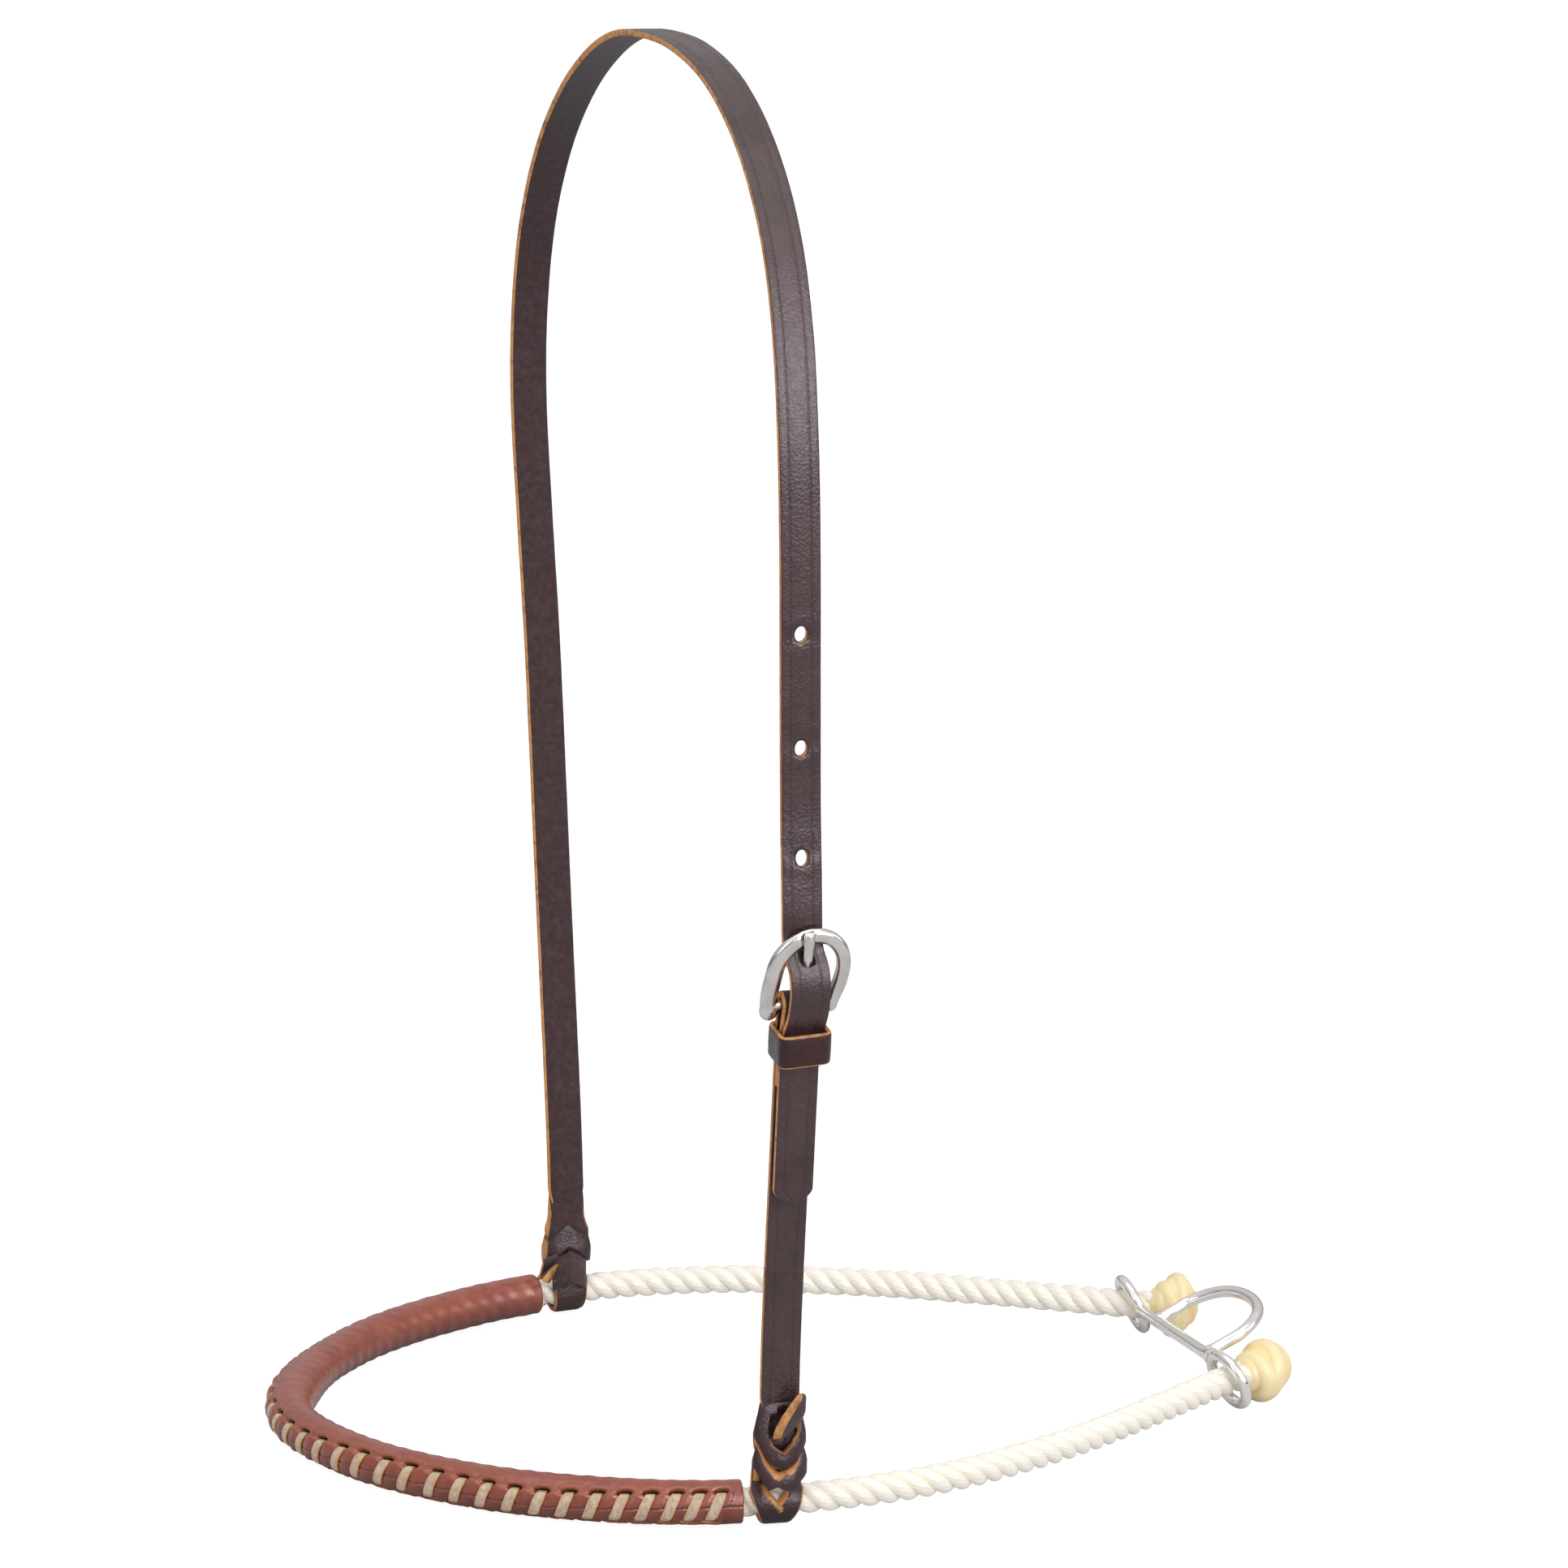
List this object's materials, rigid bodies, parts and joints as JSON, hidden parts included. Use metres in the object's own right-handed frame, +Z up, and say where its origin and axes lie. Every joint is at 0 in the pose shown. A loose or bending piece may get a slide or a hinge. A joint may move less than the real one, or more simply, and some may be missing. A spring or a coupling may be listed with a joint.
{
  "type": "rope noseband",
  "caption": "Rope noseband: a rope loop in a laced leather cover, on a leather headstall with a buckle, closed behind the jaw by a welded bar with a dee.",
  "frame": {"origin": "on the floor, under the middle of the overall box", "axes": "+X runs from the nose to the dee, -Y is the near (left) side with the buckle, +Z is up to the crown"},
  "size_m": [0.3253, 0.3058, 0.4418],
  "materials": {
    "rope": "three-strand, slightly glossy",
    "near_rope_knot": "bound strands, waxy",
    "far_rope_knot": "bound strands, waxy",
    "nose_cover": "oiled",
    "near_lace": "dry",
    "far_lace": "dry",
    "near_knot_wrap": "satin",
    "far_knot_wrap": "satin",
    "tie_down_bar": "polished",
    "near_eye": "polished",
    "far_eye": "polished",
    "tie_down_dee": "polished",
    "crown_strap": "satin",
    "cheek_strap": "satin",
    "near_knot_link_1": "satin",
    "near_knot_link_2": "satin",
    "far_knot_link_1": "satin",
    "far_knot_link_2": "satin",
    "near_knot_tab": "satin",
    "far_knot_tab": "satin",
    "fold_stitching": "waxed thread",
    "buckle_frame": "satin, antique",
    "buckle_tongue": "satin, antique",
    "keeper": "satin"
  },
  "bodies": {
    "noseband": {"rope": "rope", "near_rope_knot": "near_rope_knot", "far_rope_knot": "far_rope_knot", "nose_cover": "nose_cover", "near_lace": "near_lace", "far_lace": "far_lace", "near_knot_wrap": "near_knot_wrap", "far_knot_wrap": "far_knot_wrap"},
    "hardware": {"tie_down_bar": "tie_down_bar", "near_eye": "near_eye", "far_eye": "far_eye", "tie_down_dee": "tie_down_dee"},
    "headstall": {"crown_strap": "crown_strap", "cheek_strap": "cheek_strap", "near_knot_link_1": "near_knot_link_1", "near_knot_link_2": "near_knot_link_2", "far_knot_link_1": "far_knot_link_1", "far_knot_link_2": "far_knot_link_2", "near_knot_tab": "near_knot_tab", "far_knot_tab": "far_knot_tab", "fold_stitching": "fold_stitching"},
    "buckle": {"buckle_frame": "buckle_frame"},
    "tongue": {"buckle_tongue": "buckle_tongue"},
    "keeper": {"keeper": "keeper"}
  },
  "joints": [
    {"name": "headstall_lean", "type": "hinge", "parent": "noseband", "child": "headstall", "pos_m": [-0.03624, 0, 0.01542], "axis": [0, 1, 0], "range_deg": [-20, 20]},
    {"name": "hardware_swing", "type": "hinge", "parent": "noseband", "child": "hardware", "pos_m": [0.14008, 0, 0.00983], "axis": [0, -1, 0], "range_deg": [-5, 8]},
    {"name": "buckle_tilt", "type": "hinge", "parent": "headstall", "child": "buckle", "pos_m": [-0.03758, -0.14277, 0.16848], "axis": [0.9999, 0, 0.012], "range_deg": [0, 1]},
    {"name": "tongue_swing", "type": "hinge", "parent": "buckle", "child": "tongue", "pos_m": [-0.03758, -0.14277, 0.16848], "axis": [0.9999, 0, 0.012], "range_deg": [0, 1.5]},
    {"name": "keeper_slide", "type": "slide", "parent": "headstall", "child": "keeper", "axis": [-0.0119, -0.1444, 0.9895], "range_m": [-0.025, 0.0015]}
  ]
}
